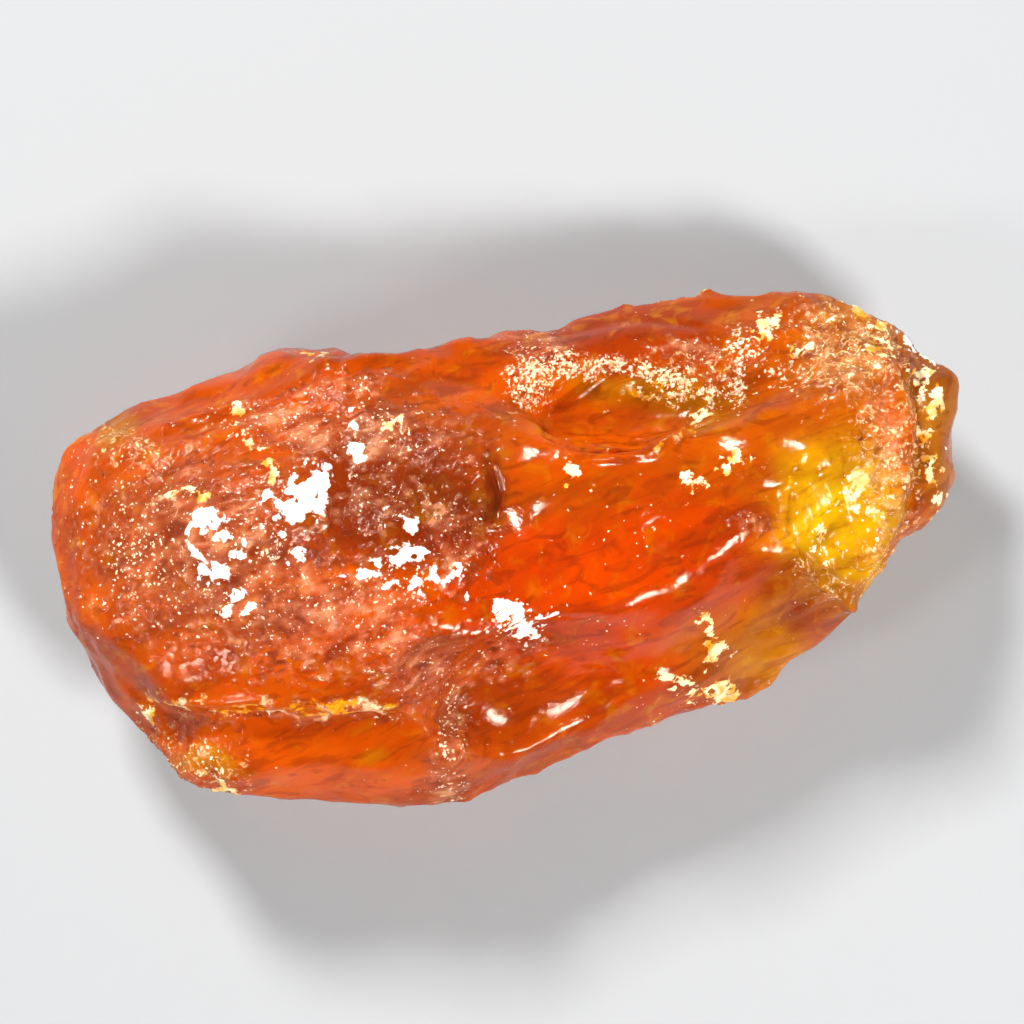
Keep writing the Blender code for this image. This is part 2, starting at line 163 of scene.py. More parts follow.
# Spots of the skin on the plan: middle, half length, half width and turn in degrees
# White residue
CHALK = [
    (-14.5, 4.5, 1.4, 2.3, -30),
    (-15.4, 2.8, 2.0, 1.1, 0),
    (-17.6, 3.9, 0.5, 1.1, 30),
    (-22.5, 2.1, 1.1, 0.8, -10),
    (-21.2, 1.2, 0.8, 0.8, -40),
    (-23.1, -0.2, 1.2, 0.7, -40),
    (-22.3, -1.7, 0.5, 1.0, 0),
    (-21.4, -1.7, 0.7, 0.8, -30),
    (-19.7, -0.1, 0.4, 0.7, 0),
    (-20.2, -3.6, 0.7, 0.5, 20),
    (-21.0, -4.5, 0.5, 0.5, 30),
    (-19.3, -4.5, 0.7, 0.4, -5),
    (-15.5, -0.4, 0.9, 0.5, 0),
    (-10.6, -1.6, 1.3, 0.5, -12),
    (-6.9, -0.4, 1.5, 0.8, -8),
    (-5.2, -1.9, 0.6, 0.7, 40),
    (-8.7, -2.4, 0.6, 0.5, 0),
    (-6.6, -2.5, 0.8, 0.6, -20),
    (-7.2, 2.1, 0.8, 0.6, 10),
    (-3.5, -1.8, 0.5, 0.6, -50),
    (-3.0, -3.5, 0.4, 0.5, -30),
    (-0.0, -4.7, 1.4, 1.1, -10),
    (1.3, -5.8, 1.1, 0.9, -30),
    (-0.7, -4.1, 0.6, 0.5, 0),
    (3.0, -4.8, 0.5, 0.4, -15),
    (-11.5, 10.4, 0.5, 0.4, 20),
    (-11.7, 9.4, 0.4, 0.3, 0),
    (-10.9, 7.3, 0.9, 0.5, -15),
    (-9.3, -1.0, 0.8, 0.5, 10),
    (30.8, 15.9, 0.9, 0.7, -25),
    (32.0, 14.8, 0.5, 0.8, 20),
]
# Yellow-cream flakes
CREAM = [
    (-17.2, 5.7, 0.5, 0.7, 20),
    (-20.5, 10.3, 0.5, 0.7, -40),
    (-19.9, 8.8, 0.7, 0.5, -50),
    (-19.0, 7.8, 0.5, 0.4, -50),
    (-17.8, 6.0, 0.3, 0.6, 20),
    (-23.9, 4.2, 1.7, 0.3, 8),
    (-8.7, 9.4, 1.1, 0.5, 10),
    (-18.3, 7.5, 0.4, 0.3, 0),
    (4.9, 5.8, 0.7, 0.7, 0),
    (13.9, 5.1, 0.8, 0.8, -30),
    (16.8, 6.5, 1.1, 0.7, 15),
    (15.2, -5.8, 0.5, 1.2, 10),
    (15.8, -7.6, 0.8, 0.9, -25),
    (19.7, 16.9, 1.3, 0.7, 35),
    (22.1, 15.0, 0.7, 0.5, 20),
    (26.5, 18.1, 0.9, 0.6, -30),
    (28.3, 16.6, 0.5, 0.8, -25),
    (27.8, 14.8, 0.6, 0.9, 30),
    (32.3, 11.2, 0.6, 1.4, -10),
    (31.4, 13.0, 0.5, 0.9, 20),
    (31.2, 8.8, 0.5, 1.1, 0),
    (30.2, 17.5, 0.9, 0.5, -30),
    (32.5, 3.9, 0.5, 0.9, 0),
    (29.1, 15.3, 0.5, 0.6, 30),
    (27.1, 16.5, 0.7, 0.5, -40),
    (24.2, 17.1, 0.6, 0.4, 20),
    (31.9, 6.0, 0.6, 1.2, 10),
    (26.6, 5.2, 1.1, 1.0, 20),
    (26.3, 3.0, 0.6, 0.5, -20),
    (28.1, 2.6, 0.5, 0.8, -15),
    (23.6, 0.7, 0.4, 1.5, 5),
    (12.8, -9.8, 2.0, 0.6, -28),
    (16.3, -10.7, 1.5, 0.7, 8),
    (-26.7, -12.2, 0.9, 0.6, -30),
    (-21.1, -17.7, 1.8, 0.6, -30),
    (-1.9, -19.6, 1.1, 0.5, 20),
    (14.6, 9.9, 0.9, 0.3, 10),
]
# Frosted, finely wrinkled skin, which takes a painted pink sheen
FROST = [
    (-22.9, 0.3, 8.9, 6.9, 0),
    (-16.2, -3.8, 11.3, 5.3, -10),
    (-16.2, 9.0, 4.7, 2.0, -15),
    (-8.7, 8.2, 6.8, 3.0, 0),
    (-12.4, 12.1, 4.5, 1.1, 8),
    (-12.0, -6.8, 7.5, 2.6, 5),
    (-6.4, -8.7, 3.9, 3.0, 10),
    (-4.0, -13.9, 1.5, 4.5, 0),
    (-4.3, -18.1, 2.1, 2.0, 0),
    (-0.0, -7.9, 3.0, 1.8, 30),
    (-3.8, 0.7, 3.0, 3.8, 0),
    (-9.8, 3.3, 3.9, 2.3, 10),
    (-15.4, -12.4, 11.3, 0.6, 2),
    (11.6, -13.8, 9.8, 1.0, 22),
    (25.9, 15.0, 4.5, 3.8, -30),
    (28.5, 7.5, 1.7, 6.8, 5),
    (29.6, 0.7, 4.2, 1.1, 55),
    (18.5, 2.0, 1.8, 0.9, 0),
    (23.3, -3.8, 1.8, 0.5, 25),
    (2.6, 15.3, 2.3, 1.5, 0),
    (13.9, 15.0, 3.0, 0.9, 0),
]
# Rough brown crust
CRUST = [
    (25.9, 15.1, 4.2, 3.5, -30),
    (30.0, 9.0, 1.4, 7.1, 5),
    (28.1, -0.8, 2.6, 1.7, 50),
    (27.7, 7.1, 1.5, 4.2, 8),
    (23.8, -1.9, 2.3, 0.9, -35),
    (14.6, 13.3, 3.0, 2.0, 0),
    (2.2, 12.9, 1.8, 2.0, 0),
    (7.5, 13.8, 3.3, 0.8, -2),
    (-23.7, -15.8, 4.2, 1.8, -30),
    (-28.2, 7.5, 2.6, 1.5, -30),
]
# Fibrous pale chips along the shelf
BAND = [
    (1.9, 12.8, 1.3, 1.8, 0),
    (4.3, 13.8, 1.5, 0.8, 0),
    (6.5, 13.5, 0.9, 0.5, 0),
    (8.5, 13.8, 1.0, 0.4, 0),
    (11.0, 13.0, 1.4, 0.9, -20),
    (12.8, 12.2, 1.2, 1.0, -10),
    (15.5, 11.6, 1.1, 0.9, 0),
    (17.5, 12.0, 0.6, 1.2, 10),
    (20.3, 13.2, 0.5, 0.7, 30),
    (22.4, 12.7, 0.5, 0.5, 0),
    (18.0, 15.3, 1.4, 1.1, 0),
]

# Smooth windows into the clear resin
WINDOWS = [
    (7.9, -3.1, 6.8, 6.0, 0),
    (7.1, 9.9, 5.3, 1.8, 0),
    (19.5, 7.5, 5.6, 4.1, 0),
    (10.1, 16.8, 6.8, 2.0, 0),
    (22.5, -3.2, 3.0, 2.6, 0),
    (-14.7, -16.2, 8.3, 2.3, 0),
    (-33.3, -0.8, 1.7, 8.3, 0),
    (-16.2, 12.3, 3.2, 1.5, 20),
    (5.6, -12.1, 8.3, 3.0, 10),
]

# Fine folds and grooves: the line, how far it stands out and its width
FOLDS = [
    ([(4.6, 6.9), (7.1, 6.8), (10.9, 7.1), (13.3, 8.4)], 0.60, 0.32),
    ([(3.2, 8.7), (5.2, 7.7), (7.9, 7.5), (10.9, 7.9)], -0.50, 0.35),
    ([(21.0, 4.1), (20.8, 2.0), (22.1, -0.8), (24.0, -2.9), (26.0, -4.0)], 0.40, 0.30),
    ([(21.5, 3.7), (21.5, 1.8), (22.7, -0.5), (24.5, -2.3)], -0.30, 0.35),
    ([(1.9, 9.9), (3.2, 8.5), (4.6, 7.6)], 0.22, 0.30),
    ([(-15.4, 15.3), (-14.2, 14.8), (-13.2, 14.1)], 0.22, 0.40),
    ([(-12.0, 13.8), (-9.8, 14.4), (-7.9, 14.6), (-6.0, 15.3), (-2.7, 15.7)], 0.30, 0.35),
    ([(-17.7, 10.1), (-16.2, 11.2), (-13.2, 12.3),
      (-10.9, 12.7), (-7.9, 12.7), (-6.0, 13.5)], 0.30, 0.50),
    ([(-31.6, 8.2), (-26.7, 10.8), (-20.7, 12.7)], 0.16, 0.35),
    ([(-30.8, 6.0), (-25.9, 9.0), (-19.2, 11.2)], 0.16, 0.35),
    ([(-29.7, 4.5), (-25.2, 7.1), (-19.9, 9.3)], 0.14, 0.35),
    ([(-26.7, 3.7), (-22.6, 4.5), (-18.4, 6.0)], 0.18, 0.35),
    ([(22.1, 18.7), (25.9, 16.1), (28.9, 13.5), (30.2, 10.5),
      (30.5, 6.0), (29.3, 2.2), (27.4, -0.8), (25.5, -4.2)], 0.35, 0.55),
    ([(21.4, 2.2), (22.1, -0.8), (24.4, -3.1)], 0.16, 0.25),
    ([(22.1, 3.7), (23.3, -0.1), (25.5, -2.3)], 0.18, 0.22),
    ([(22.5, 5.2), (24.4, 0.7), (27.0, -1.6)], 0.18, 0.22),
    ([(23.3, 6.3), (25.7, 2.2), (27.8, -0.1)], 0.16, 0.2),
    ([(23.8, 7.1), (26.8, 3.7), (28.4, 1.4)], 0.16, 0.2),
    ([(-26.7, -10.9), (-22.9, -11.7), (-18.6, -11.5),
      (-15.4, -12.1), (-10.9, -11.8), (-8.2, -11.8), (-4.9, -13.4)], 0.25, 0.30),
    ([(2.6, -17.0), (7.1, -14.7), (14.6, -12.4), (20.6, -9.8)], 0.22, 0.50),
    ([(22.1, -4.6), (24.4, -3.4), (25.9, -3.8)], 0.25, 0.30),
    ([(10.1, 1.8), (11.2, 2.8), (12.2, 2.6), (13.5, 1.8)], 0.18, 0.30),
    ([(4.1, 16.3), (7.1, 16.9), (10.9, 17.2), (14.6, 16.8)], -0.18, 0.35),
    ([(-1.3, 7.1), (-0.7, 4.8), (-0.4, 2.6)], -0.40, 0.35),
    ([(29.5, 15.3), (30.8, 11.2), (31.1, 7.5), (30.0, 2.2)], -0.40, 0.40),
    ([(-0.0, -17.3), (0.7, -15.1), (1.9, -12.8)], 0.12, 0.35),
    ([(4.1, -16.6), (5.2, -14.7), (6.7, -13.6)], 0.12, 0.35),
]
# Painted glints in pale and yellow lines along ledges, lips and crack edges: the line and its half width
PAINTED_GLINT_LINES = [
    ([(-21.1, -12.3), (-18.6, -11.5), (-15.4, -11.9), (-10.9, -11.8), (-8.2, -11.8)], 0.45),
    ([(-26.7, 3.7), (-25.2, 3.9), (-22.6, 4.4)], 0.35),
    ([(-26.7, -10.9), (-23.7, -11.3), (-21.1, -12.2)], 0.3),
    ([(-15.4, 15.2), (-13.5, 14.2)], 0.2),
    ([(8.6, 11.8), (10.9, 12.3), (12.2, 11.7)], 0.5),
    ([(11.2, 7.1), (13.1, 8.2), (13.9, 8.8)], 0.25),
    ([(21.0, 3.7), (21.4, 6.0), (23.0, 7.3)], 0.2),
]
# Dark cracks, and painted shade along edges and under lips: the line and its half width
CRACK_AND_SHADE_LINES = [
    ([(2.8, 9.0), (4.7, 7.6), (7.1, 7.5), (10.9, 7.8)], 0.45),
    ([(29.5, 16.5), (30.5, 13.5), (30.9, 10.5), (30.7, 7.5), (29.9, 3.7), (28.9, 0.7)], 0.4),
    ([(25.9, 18.7), (28.1, 17.1), (29.6, 14.8), (30.7, 12.1)], 0.35),
    ([(21.8, -0.5), (23.8, -2.7), (25.9, -4.0)], 0.25),
    ([(-18.3, 1.1), (-17.3, 0.1), (-15.4, -0.5), (-13.9, 0.1)], 0.6),
    ([(-15.7, 1.4), (-14.1, 0.8)], 0.4),
    ([(-1.2, 7.1), (-0.6, 4.8), (-0.5, 2.8)], 0.35),
    ([(-21.8, 11.7), (-19.2, 12.7), (-16.5, 14.1)], 0.22),
    ([(-13.2, 13.3), (-9.4, 13.6), (-6.0, 14.1)], 0.22),
    ([(4.1, 15.7), (8.6, 16.2), (13.9, 15.9)], 0.3),
    ([(10.1, -8.9), (13.9, -10.6), (16.9, -11.7)], 0.25),
    ([(27.4, 12.7), (28.5, 9.7), (28.4, 6.7), (27.5, 3.7)], 0.3),
]

# Small grains: middle, half length and half width of the cluster, their number and their largest size
GRAINS = [
    (-28.2, -0.4, 3.2, 6.4, 170, 0.5),
    (-21.8, -3.8, 5.3, 3.8, 60, 0.5),
    (-17.7, 0.7, 2.4, 1.8, 40, 0.6),
    (-20.3, 9.4, 2.2, 1.6, 30, 0.6),
    (-10.5, 10.0, 3.0, 1.2, 20, 0.54),
    (1.9, 12.8, 1.6, 2.0, 60, 0.72),
    (5.2, 13.8, 3.4, 0.8, 46, 0.72),
    (8.2, 14.0, 1.6, 0.5, 20, 0.72),
    (11.4, 13.0, 2.0, 1.0, 40, 0.78),
    (13.4, 12.2, 1.4, 1.0, 34, 0.78),
    (16.6, 12.0, 2.6, 1.2, 30, 0.6),
    (21.6, 13.4, 2.6, 1.6, 26, 0.66),
    (26.0, 14.6, 4.0, 3.4, 60, 0.6),
    (25.6, 2.4, 4.0, 5.4, 50, 0.72),
    (30.4, 7.6, 1.6, 6.0, 34, 0.66),
    (-4.2, -14.0, 1.0, 4.6, 60, 0.6),
    (0.6, -5.4, 2.6, 1.8, 50, 0.66),
    (-7.2, -2.2, 3.6, 1.6, 40, 0.6),
    (6.4, -5.6, 6.0, 3.0, 16, 0.48),
    (8.6, 1.0, 6.0, 3.4, 18, 0.48),
    (-32.2, 4.6, 1.2, 4.6, 26, 0.48),
    (-23.8, -16.0, 4.2, 2.0, 46, 0.6),
    (-3.0, -19.4, 2.0, 0.8, 20, 0.6),
    (14.0, -12.0, 6.0, 1.6, 22, 0.48),
]
LOOSE_GRAINS = 260
GRAIN_SIZE = 0.2
LARGEST_LOOSE_GRAIN = 0.4
GRAIN_SUNK = 0.05
FLOOR_GAP = 0.6
OUTSIDE = 80.0


def smooth_ramp(value, low, high):
    """0 below low, 1 above high, and a smooth slope between."""
    t = np.clip((value - low) / (high - low), 0.0, 1.0)
    return t * t * (3.0 - 2.0 * t)


def lumps_at(points, size, shift=0.0):
    """Smooth chance value at each point, between about -1 and 1, with lumps of one size."""
    return np.array([noise.noise(Vector(point / size + shift)) for point in points])


def ridges_at(points, size, shift=0.0):
    """Chance value with sharp crests, 1 on a crest and near 0 between."""
    return 1.0 - 2.0 * np.abs(lumps_at(points, size, shift))


def drawn_out(points):
    """The points turned and squeezed along the lump, where chance values come out as lines along it."""
    angle = math.radians(LINES_TURN)
    along = points[:, 0] * math.cos(angle) + points[:, 1] * math.sin(angle)
    aside = points[:, 1] * math.cos(angle) - points[:, 0] * math.sin(angle)
    return np.column_stack([along * LINES_SQUEEZE, aside, points[:, 2]])


def near_spots(plan, spots):
    """1 in the middle of the nearest spot, 0 on its edge and below 0 outside."""
    best = np.full(len(plan), -4.0)
    for x, y, reach, width, turn in spots:
        angle = math.radians(turn)
        across, up = plan[:, 0] - x, plan[:, 1] - y
        along = (across * math.cos(angle) + up * math.sin(angle)) / reach
        aside = (up * math.cos(angle) - across * math.sin(angle)) / width
        best = np.maximum(best, 1.0 - np.hypot(along, aside))
    return best


def line_distance(plan, line):
    """Distance on the plan to a line, growing past its ends."""
    corners = np.array(line)
    nearest = np.full(len(plan), np.inf)
    for start, end in zip(corners[:-1], corners[1:]):
        step = end - start
        offset = plan - start
        t = np.clip(offset @ step / (step @ step), 0.0, 1.0)
        nearest = np.minimum(nearest, np.linalg.norm(offset - t[:, None] * step, axis=1))
    return nearest


def plan_of(points):
    """Where the camera sees each point on the plan at the level of the rim."""
    aim = np.array(AIM[:2])
    spread = CAMERA_DISTANCE / (CAMERA_DISTANCE - (points[:, 2] - AIM[2]))
    return aim + (points[:, :2] - aim) * spread[:, None]


def places(mesh):
    """Vertex places in millimetres, one row each."""
    values = np.empty(len(mesh.vertices) * 3)
    mesh.vertices.foreach_get("co", values)
    return values.reshape(-1, 3) / MM


def normals(mesh):
    """Vertex normals, one row each."""
    values = np.empty(len(mesh.vertices) * 3)
    mesh.vertices.foreach_get("normal", values)
    return values.reshape(-1, 3)


def put_places(mesh, points):
    """Move the vertices to new places in millimetres."""
    mesh.vertices.foreach_set("co", (points * MM).ravel())
    mesh.update()


def fine_copy(node):
    """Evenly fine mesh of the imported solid, with its facets smoothed out."""
    joined = bmesh.new()
    joined.from_mesh(node.data)
    bmesh.ops.remove_doubles(joined, verts=joined.verts, dist=SAME_PLACE * MM)
    data = bpy.data.meshes.new("coarse")
    joined.to_mesh(data)
    joined.free()
    lump = bpy.data.objects.new("amber_lump", data)
    bpy.context.collection.objects.link(lump)
    lump.modifiers.new("round", "SUBSURF").levels = 1
    even = lump.modifiers.new("even", "REMESH")
    even.mode = "VOXEL"
    even.voxel_size = VOXEL * MM
    smooth = lump.modifiers.new("smooth", "SMOOTH")
    smooth.iterations = SMOOTHING
    fine = bpy.data.meshes.new_from_object(lump.evaluated_get(bpy.context.evaluated_depsgraph_get()))
    lump.modifiers.clear()
    lump.data = fine
    fine.name = "amber_lump"
    bpy.data.meshes.remove(data)
    return lump


class Skin:
    """What covers each vertex: 1 well inside a kind of skin, 0 at its edge, negative outside."""

    def __init__(self, points, facing):
        self.points = points
        self.plan = plan_of(points)
        self.face = smooth_ramp(points[:, 2], BACK_LEVEL, FACE_LEVEL) * smooth_ramp(facing[:, 2], -0.1, 0.3)
        self.broad = lumps_at(points, 6.0, 11.3)
        self.medium = lumps_at(points, 2.2, 23.1)
        self.fine = lumps_at(points, 0.9, 5.7)
        self.grit = lumps_at(points, 0.5, 13.9)
        drawn = drawn_out(points)
        self.crest = 0.6 * ridges_at(drawn, 1.4, 3.0) + 0.4 * ridges_at(drawn, 0.6, 19.0)
        jag = np.column_stack([lumps_at(points, 1.2, 61.0), lumps_at(points, 1.2, 83.0)])
        self.ragged_plan = self.plan + JAG * jag + 0.5 * JAG * self.grit[:, None]
        self.frost = self.blended(FROST, 0.5 * self.broad + 0.35 * self.medium)
        self.crust = self.blended(CRUST, 1.4 * self.broad + 0.5 * self.medium - 0.55)
        self.cream = self.blended(CREAM, 1.6 * self.medium + 0.6 * self.fine - 1.25)
        self.chalk = self.blended(CHALK, 1.7 * lumps_at(points, 4.0, 41.0) + 0.5 * self.fine - 1.3)
        self.band = self.blended(BAND, np.full(len(points), -1.0))

    def blended(self, spots, elsewhere):
        """The spots on the face, and the given cover on the sides and the back."""
        here = np.clip(near_spots(self.ragged_plan, spots), -1.0, 1.0) + 0.3 * self.fine + 0.9 * self.grit
        return self.face * here + (1.0 - self.face) * np.clip(elsewhere, -1.0, 1.0)


def relief(skin):
    """How far the skin stands out at each vertex, in millimetres."""
    points, face = skin.points, skin.face
    window = face * smooth_ramp(near_spots(skin.plan, WINDOWS), 0.0, 0.4)
    scooped = 1.0 - 0.45 * face - 0.35 * window
    rise = scooped * 0.42 * (ridges_at(points, 5.5, 17.0) - 0.6)
    rise += scooped * 0.20 * (ridges_at(points, 2.6, 29.0) - 0.6)
    frost = smooth_ramp(skin.frost, -0.1, 0.4)
    crust = smooth_ramp(skin.crust, -0.1, 0.4)
    rise += frost * (0.12 * skin.fine + 0.18 * skin.crest + 0.20 * ridges_at(points, 3.4, 37.0) - 0.22)
    rise += crust * (0.26 * ridges_at(points, 1.9, 7.0) + 0.16 * ridges_at(points, 0.8, 9.0) - 0.15)
    band = smooth_ramp(skin.band, -0.1, 0.4)
    rise += band * (0.22 * ridges_at(points * (1.0, 0.45, 0.45), 0.7, 2.0) - 0.05)
    rise += 0.13 * smooth_ramp(skin.chalk, 0.0, 0.3) + 0.10 * smooth_ramp(skin.cream, 0.0, 0.3)
    for line, height, width in FOLDS:
        distance = line_distance(skin.plan + 0.25 * skin.medium[:, None], line)
        rise += face * height * np.exp(-((distance / width) ** 2))
    return rise


def blend_zones(skin):
    """Resin colour and clearness at each vertex, blended from the zones."""
    warp = np.column_stack([
        lumps_at(skin.points, ZONE_WARP_SIZE, 51.0),
        lumps_at(skin.points, ZONE_WARP_SIZE, 73.0),
    ])
    plan = skin.plan + ZONE_WARP * warp
    total = np.full(len(plan), PLAIN_WEIGHT)
    tint = PLAIN_WEIGHT * np.tile(ORANGE, (len(plan), 1))
    clearness = PLAIN_WEIGHT * np.full(len(plan), PLAIN_CLEARNESS)
    for x, y, reach, width, zone_colour, weight, clear in ZONES:
        distance = np.hypot((plan[:, 0] - x) / reach, (plan[:, 1] - y) / width)
        share = weight * np.exp(-(distance**3))
        total += share
        tint += share[:, None] * np.array(zone_colour)
        clearness += share * clear
    return tint / total[:, None], clearness / total


def store(mesh, name, values):
    """Keep one value or colour for each vertex, for the material to read."""
    if values.ndim == 1:
        mesh.attributes.new(name, "FLOAT", "POINT").data.foreach_set("value", values)
    else:
        with_alpha = np.column_stack([values, np.ones(len(values))])
        mesh.attributes.new(name, "FLOAT_COLOR", "POINT").data.foreach_set("color", with_alpha.ravel())


def near_lines(skin, lines):
    """1 in the middle of the nearest line, 0 on its edge and below 0 outside, with ragged edges."""
    best = np.full(len(skin.plan), -1.0)
    for line, half_width in lines:
        distance = line_distance(skin.ragged_plan, line)
        best = np.maximum(best, 1.0 - distance / half_width)
    return np.where(skin.face > 0.5, best + skin.fine + skin.grit, -1.0)


def dress(lump):
    """Work the relief into the lump, no lower than the floor, and keep what covers it for the material."""
    mesh = lump.data
    points, facing = places(mesh), normals(mesh)
    skin = Skin(points, facing)
    dressed = points + facing * relief(skin)[:, None]
    dressed[:, 2] = np.maximum(dressed[:, 2], 0.0)
    put_places(mesh, dressed)
    tint, clearness = blend_zones(skin)
    store(mesh, "tint", tint)
    store(mesh, "clearness", clearness)
    store(mesh, "frost", skin.frost)
    store(mesh, "crest", skin.crest)
    store(mesh, "crust", skin.crust)
    store(mesh, "cream", skin.cream)
    # Painted glints along ledges, lips and crack edges
    store(mesh, "glint", near_lines(skin, PAINTED_GLINT_LINES))
    # Dark cracks, with painted shade along edges and under lips
    store(mesh, "crack_and_shade", near_lines(skin, CRACK_AND_SHADE_LINES))
    store(mesh, "chalk", skin.chalk)
    store(mesh, "band", skin.band)
    mesh.shade_smooth()


class Nodes:
    """Short ways to make the shader nodes of one material."""

    def __init__(self, material):
        material.use_nodes = True
        self.tree = material.node_tree
        self.shader = self.tree.nodes["Principled BSDF"]
        self.output = self.tree.nodes["Material Output"]

    def add(self, kind, inputs, **settings):
        """A node with its settings, its inputs given as values or as the sockets that feed them."""
        made = self.tree.nodes.new(kind)
        for name, value in settings.items():
            setattr(made, name, value)
        for name, value in inputs.items():
            if isinstance(value, bpy.types.NodeSocket):
                self.tree.links.new(value, made.inputs[name])
            else:
                made.inputs[name].default_value = value
        return made

    def math(self, operation, first, second):
        return self.add("ShaderNodeMath", {0: first, 1: second}, operation=operation).outputs[0]

    def attribute(self, name, output="Fac"):
        return self.add("ShaderNodeAttribute", {}, attribute_name=name).outputs[output]

    def noise(self, size, detail=2.0, distortion=0.0, stretch=(1.0, 1.0, 1.0), turn=0.0):
        """Chance value round 0.5 with lumps of that size in mm, drawn out where stretch is under 1."""
        place = self.add("ShaderNodeTexCoord", {}).outputs["Object"]
        place = self.add("ShaderNodeMapping", {"Vector": place, "Rotation": (0.0, 0.0, -turn)}).outputs[0]
        place = self.add("ShaderNodeMapping", {"Vector": place, "Scale": stretch}).outputs[0]
        inputs = {"Vector": place, "Scale": 1.0 / (size * MM), "Detail": detail, "Distortion": distortion}
        return self.add("ShaderNodeTexNoise", inputs).outputs["Fac"]

    def ramp(self, value, low, high, start=0.0, end=1.0):
        """start below low, end above high, and a smooth slope between."""
        inputs = {"Value": value, "From Min": low, "From Max": high, "To Min": start, "To Max": end}
        return self.add("ShaderNodeMapRange", inputs, interpolation_type="SMOOTHSTEP").outputs[0]

    def broken(self, name, grain, strength, softness, most=1.0):
        """Cover of a kind of skin, its edge broken up by a grain, its middle as dense as most allows."""
        cover = self.math("MINIMUM", self.attribute(name), most)
        shaken = self.math("MULTIPLY_ADD", grain, strength)
        shaken.node.inputs[2].default_value = -strength / 2.0
        return self.ramp(self.math("ADD", cover, shaken), 0.0, softness)

    def mix(self, factor, first, second):
        """Colour first where the factor is 0 and second where it is 1."""
        made = self.add("ShaderNodeMix", {}, data_type="RGBA")
        for index, value in ((0, factor), (6, first), (7, second)):
            if isinstance(value, bpy.types.NodeSocket):
                self.tree.links.new(value, made.inputs[index])
            else:
                made.inputs[index].default_value = value if index == 0 else (*value, 1.0)
        return made.outputs[2]

    def less(self, value, cover, share):
        """The value lowered by a share of itself where the cover is 1."""
        kept = self.ramp(cover, 0.0, 1.0, 1.0, 1.0 - share)
        return self.math("MULTIPLY", value, kept)

    def feed(self, name, value):
        if isinstance(value, bpy.types.NodeSocket):
            self.tree.links.new(value, self.shader.inputs[name])
        else:
            self.shader.inputs[name].default_value = value


def frost_sheen_shade_and_glints(nodes, wrinkle, speck, mottle):
    """How far the frosted skin takes a painted pink sheen and painted highlights along its creases, the
    painted shade in the hollows between its crests, and where its painted glint specks lie.
    """
    frosted = nodes.ramp(nodes.attribute("frost"), -0.1, 0.5)
    crest = nodes.attribute("crest")
    # Painted sheen, lighter on the crests of the wrinkles and patchy
    painted_sheen = nodes.ramp(crest, 0.3, 0.95, 0.06, 0.75)
    painted_sheen = nodes.math("MULTIPLY", painted_sheen, nodes.ramp(mottle, 0.35, 0.7, 0.25, 1.0))
    # Painted highlights along the creases of the wrinkles
    painted_crease_highlights = nodes.math("ABSOLUTE", nodes.math("SUBTRACT", wrinkle, 0.5), 0.0)
    painted_crease_highlights = nodes.ramp(painted_crease_highlights, 0.0, 0.04, 0.4, 0.0)
    painted_crease_highlights = nodes.math("MULTIPLY", painted_crease_highlights, nodes.ramp(mottle, 0.4, 0.6))
    frost = nodes.math("MULTIPLY", frosted, nodes.math("MAXIMUM", painted_sheen, painted_crease_highlights))
    # Painted shade: darker in the hollows between the crests of the frost
    painted_hollow_shade = nodes.ramp(crest, 0.2, 0.7, 0.8, 0.1)
    painted_hollow_shade = nodes.math("MULTIPLY", painted_hollow_shade, nodes.ramp(mottle, 0.35, 0.65, 1.0, 0.2))
    painted_hollow_shade = nodes.math("MULTIPLY", frosted, painted_hollow_shade)
    # Painted glints: pale specks on the wrinkles of the frost
    painted_glint_specks = nodes.math("MULTIPLY", nodes.ramp(speck, 0.64, 0.68), nodes.ramp(mottle, 0.3, 0.5))
    painted_glint_specks = nodes.math("MULTIPLY", frosted, painted_glint_specks)
    return frost, painted_hollow_shade, painted_glint_specks


def resin_colour(nodes, painted_hollow_shade, crack_and_shade, mottle):
    """Tint of the zones with darker flows and veins, glowing patches, painted shade in the hollows of the
    frost, and dark cracks with painted shade along edges.
    """
    vein = nodes.noise(1.5, detail=5.0, distortion=1.5, stretch=(0.35, 1.0, 1.0), turn=0.4)
    flow = nodes.noise(5.0, detail=4.0, distortion=0.5, stretch=(0.35, 1.4, 1.0), turn=0.5)
    resin = nodes.mix(nodes.ramp(flow, 0.35, 0.62, 0.5, 0.0), nodes.attribute("tint", "Color"), DARK)
    resin = nodes.mix(nodes.ramp(mottle, 0.5, 0.8, 0.0, 0.35), resin, GLOW)
    # Painted shade in the hollows of the frost
    resin = nodes.mix(painted_hollow_shade, resin, DARK)
    resin = nodes.mix(nodes.ramp(vein, 0.36, 0.5, 0.45, 0.0), resin, DARK)
    # Dark cracks and painted shade along edges, in deep brown
    return nodes.mix(crack_and_shade, resin, DEEP_BROWN)


